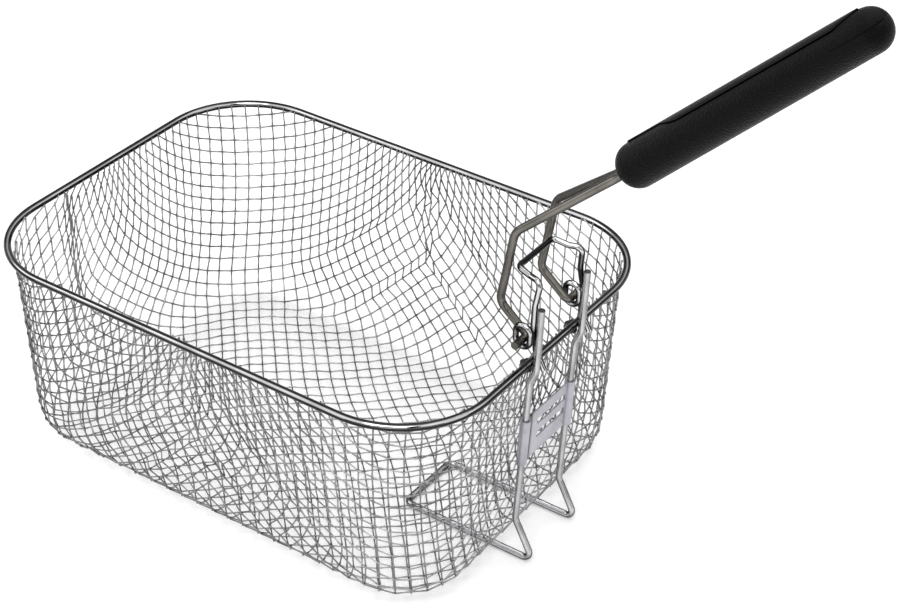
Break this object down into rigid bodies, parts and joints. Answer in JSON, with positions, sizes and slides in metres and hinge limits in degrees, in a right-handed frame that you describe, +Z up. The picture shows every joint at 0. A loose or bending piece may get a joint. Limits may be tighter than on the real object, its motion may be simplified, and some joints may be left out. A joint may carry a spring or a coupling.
{
  "type": "deep fryer basket",
  "caption": "Rectangular woven-wire deep fryer basket with a chrome wire rim, drain hooks, a slotted plate and a hinged fork handle with a black grip.",
  "frame": {"origin": "centre of the rim's plane, where the rim's wire rests on the fryer's edge", "axes": "+X towards the handle end, +Y to the left seen from the far end, +Z up out of the basket's mouth"},
  "size_m": [0.3963, 0.1966, 0.3109],
  "materials": {
    "rim": "polished",
    "mesh": "polished",
    "frame": "polished",
    "bail": "polished",
    "plate": "satin",
    "fork": "satin",
    "grip": "grained"
  },
  "bodies": {
    "basket": {"rim_ring": "rim", "mesh_basket": "mesh", "support_frame": "frame", "latch_bail": "bail", "slotted_plate": "plate"},
    "handle": {"handle_fork": "fork", "grip_body": "grip", "grip_cover": "grip"}
  },
  "joints": [
    {"name": "handle_hinge", "type": "hinge", "parent": "basket", "child": "handle", "pos_m": [0.1267, 0, 0.0123], "axis": [0, -1, 0], "range_deg": [0, 115]}
  ]
}
